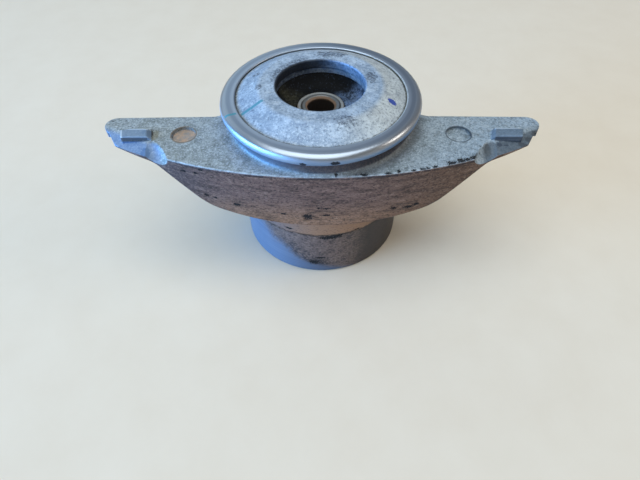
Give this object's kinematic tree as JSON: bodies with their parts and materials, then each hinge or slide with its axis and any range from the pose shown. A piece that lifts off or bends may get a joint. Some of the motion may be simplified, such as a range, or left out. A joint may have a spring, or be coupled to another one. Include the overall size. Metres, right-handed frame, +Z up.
{
  "type": "strut mount",
  "caption": "Damper top mount: cast aluminium can with boat-shaped wings, rolled rim over a cover plate, and a steel sleeve held between rubber buffers.",
  "frame": {"origin": "centre of the open skirt's rim, on the damper rod's axis", "axes": "+Z up along the damper rod's axis, +X along the wings, -Y towards the curved front wall"},
  "size_m": [0.1594, 0.0732, 0.068],
  "materials": {
    "cast_aluminium": "grainy as-cast grey with dark specks, burnished on the rolled rim",
    "zinc_plate": "dull mottled plating with dark blotches",
    "black_rubber": "matt black with dust",
    "bare_steel": "dull turned steel with light rust at the edges"
  },
  "bodies": {
    "housing": {"housing": "cast_aluminium", "cover_plate": "zinc_plate", "upper_rubber": "black_rubber", "lower_rubber": "black_rubber"},
    "core": {"core_plate": "bare_steel", "inner_sleeve": "bare_steel"}
  },
  "joints": [
    {"name": "sleeve_travel", "type": "slide", "parent": "housing", "child": "core", "axis": [0, 0, 1], "range_m": [-0.003, 0.003], "stiffness_N_per_m": 40000, "deforming": ["upper_rubber", "lower_rubber"]}
  ]
}
